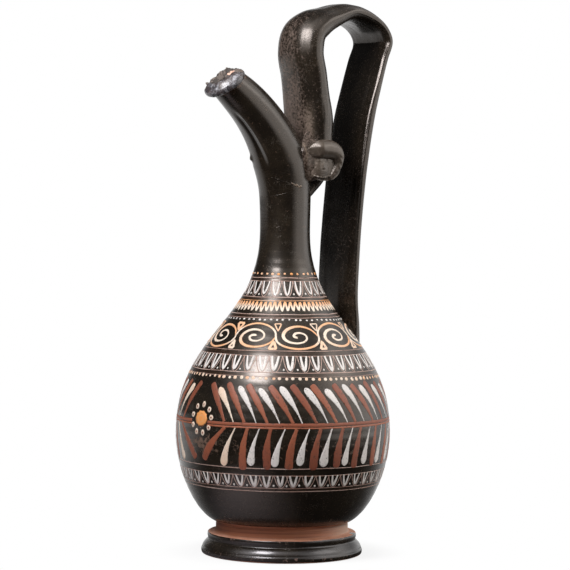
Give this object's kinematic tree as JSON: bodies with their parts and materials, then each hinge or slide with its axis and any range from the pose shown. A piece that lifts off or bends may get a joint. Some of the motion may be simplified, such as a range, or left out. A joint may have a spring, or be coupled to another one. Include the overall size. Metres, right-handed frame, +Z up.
{
  "type": "epichysis",
  "caption": "Slim black-gloss jug with a round body, tall narrow neck, beaked pouring spout, high strap handle with two small moulded heads, and a disc foot.",
  "frame": {"origin": "centre of the foot's flat underside", "axes": "+Z up along the axis of the foot and body; -X is the pouring side, where the spout points; +X is the side of the handle"},
  "size_m": [0.0773, 0.0728, 0.188],
  "materials": {
    "black_gloss": "fired black gloss slip, brown-black with an olive sheen, lightly worn",
    "foot_gloss": "black gloss with a bare terracotta ledge and stem and a bare underside",
    "worn_lip": "rolled lip, worn grey over pink terracotta",
    "handle_gloss": "black gloss, worn red-brown on its front face",
    "head_gloss": "black gloss over a moulded relief, with earth left in its hollows"
  },
  "bodies": {
    "root": {"foot": "foot_gloss", "body": "black_gloss", "neck": "black_gloss", "spout": "black_gloss", "lip": "worn_lip", "handle": "handle_gloss", "head_left": "head_gloss", "head_right": "head_gloss"}
  },
  "joints": []
}
